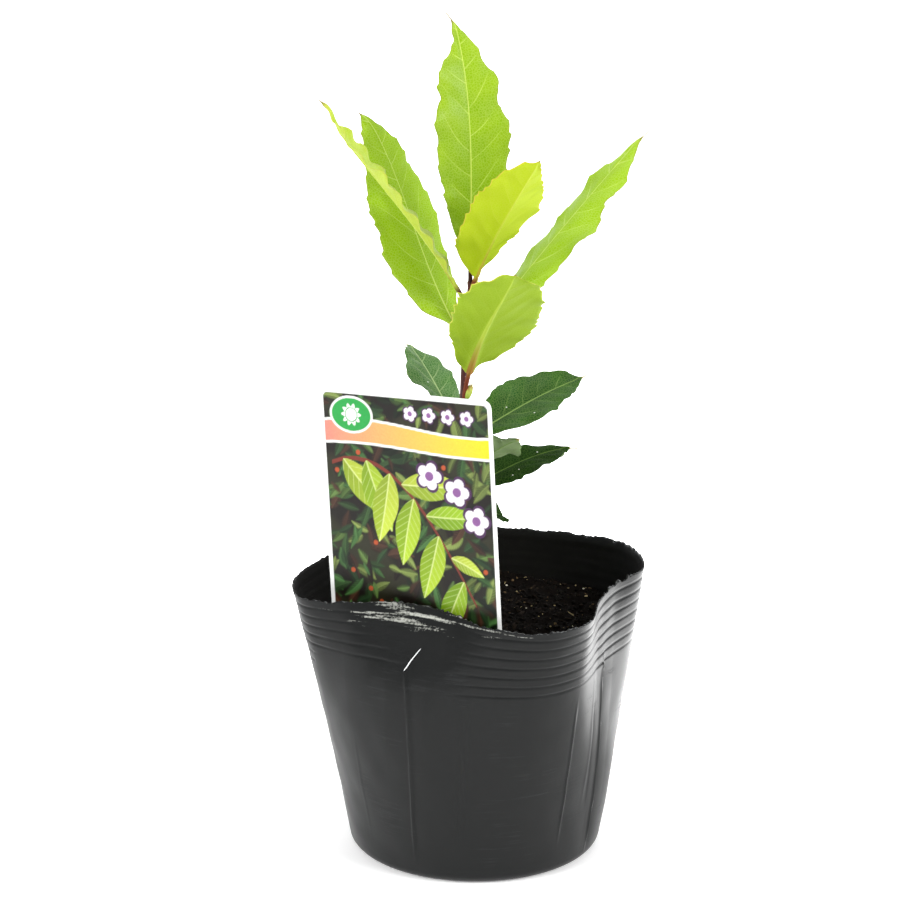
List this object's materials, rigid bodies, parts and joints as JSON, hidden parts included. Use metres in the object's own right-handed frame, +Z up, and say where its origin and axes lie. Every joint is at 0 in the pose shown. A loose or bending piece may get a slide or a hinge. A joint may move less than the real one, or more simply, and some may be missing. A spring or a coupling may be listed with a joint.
{
  "type": "bay laurel in a pot",
  "caption": "Young bay laurel in a soft, squeezed nursery pot of soil: wavy-edged leaves on one woody stem, with a plastic plant label pushed in beside it.",
  "frame": {"origin": "middle of the pot's flat underside", "axes": "+Z up along the pot's axis, -Y towards the front, where the label's printed face looks, +X to the right"},
  "size_m": [0.1063, 0.1028, 0.2487],
  "materials": {
    "pot": "soft black polyethylene, satin",
    "soil": "dark crumbly potting mix",
    "bark": "young reddish brown bark",
    "label": "white plastic card, printed on its face",
    "young_leaf": "soft new leaf, bright yellow-green",
    "mature_leaf": "leathery dark green, slightly glossy",
    "bud": "tight yellow-green scales"
  },
  "bodies": {
    "root": {"pot": "pot", "soil": "soil", "stem": "bark", "plant_label": "label", "leaf_low_back_right": "mature_leaf", "leaf_low_left": "mature_leaf", "leaf_low_right": "mature_leaf", "leaf_mid_front_left": "mature_leaf", "leaf_mid_front_right": "mature_leaf", "leaf_mid_right": "mature_leaf", "leaf_mid_back_left": "mature_leaf", "leaf_front": "young_leaf", "leaf_long_right": "young_leaf", "leaf_long_back_left": "young_leaf", "leaf_long_left": "young_leaf", "leaf_top_front_right": "young_leaf", "leaf_top": "young_leaf", "bud_axil": "bud", "bud_tip": "bud"}
  },
  "joints": []
}
